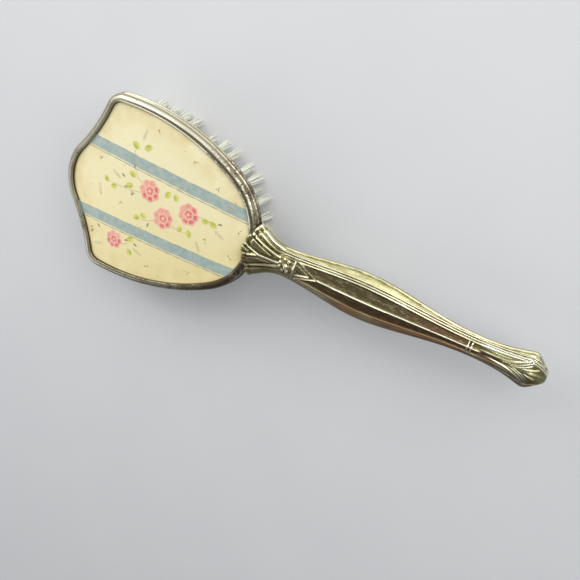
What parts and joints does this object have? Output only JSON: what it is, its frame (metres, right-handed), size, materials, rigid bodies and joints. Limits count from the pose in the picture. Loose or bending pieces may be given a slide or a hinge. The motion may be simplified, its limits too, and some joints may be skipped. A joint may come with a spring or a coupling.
{
  "type": "hair grooming brush",
  "caption": "Vanity hairbrush with a framed shield-shaped head, a domed painted back, rows of nylon tufts and a hollow stamped metal handle.",
  "frame": {"origin": "half way along the brush, in its plane of symmetry, level with the bristle tips", "axes": "+X along the handle towards its tip, +Z out of the decorated back, away from the bristles"},
  "size_m": [0.235, 0.0882, 0.0317],
  "materials": {
    "cream_enamel": "glossy, aged",
    "board": "pressed board",
    "nickel_plate": "polished, worn",
    "ivory_plastic": "moulded",
    "nylon": "translucent filament",
    "anchor_wire": "drawn wire",
    "tang_steel": "mill",
    "gilt_brass": "stamped, gilt, tarnished",
    "core_wood": "turned, unfinished"
  },
  "bodies": {
    "root": {"back_panel": "cream_enamel", "panel_backing": "board", "rear_bezel": "nickel_plate", "front_bezel": "nickel_plate", "bristle_block": "ivory_plastic", "tuft_anchors": "anchor_wire", "tang": "tang_steel", "tang_screws": "tang_steel", "handle_back_shell": "gilt_brass", "handle_front_shell": "gilt_brass", "handle_core": "core_wood", "tuft_row_01": "nylon", "tuft_row_02": "nylon", "tuft_row_03": "nylon", "tuft_row_04": "nylon", "tuft_row_05": "nylon", "tuft_row_06": "nylon", "tuft_row_07": "nylon", "tuft_row_08": "nylon", "tuft_row_09": "nylon", "tuft_row_10": "nylon", "tuft_row_11": "nylon"}
  },
  "joints": []
}
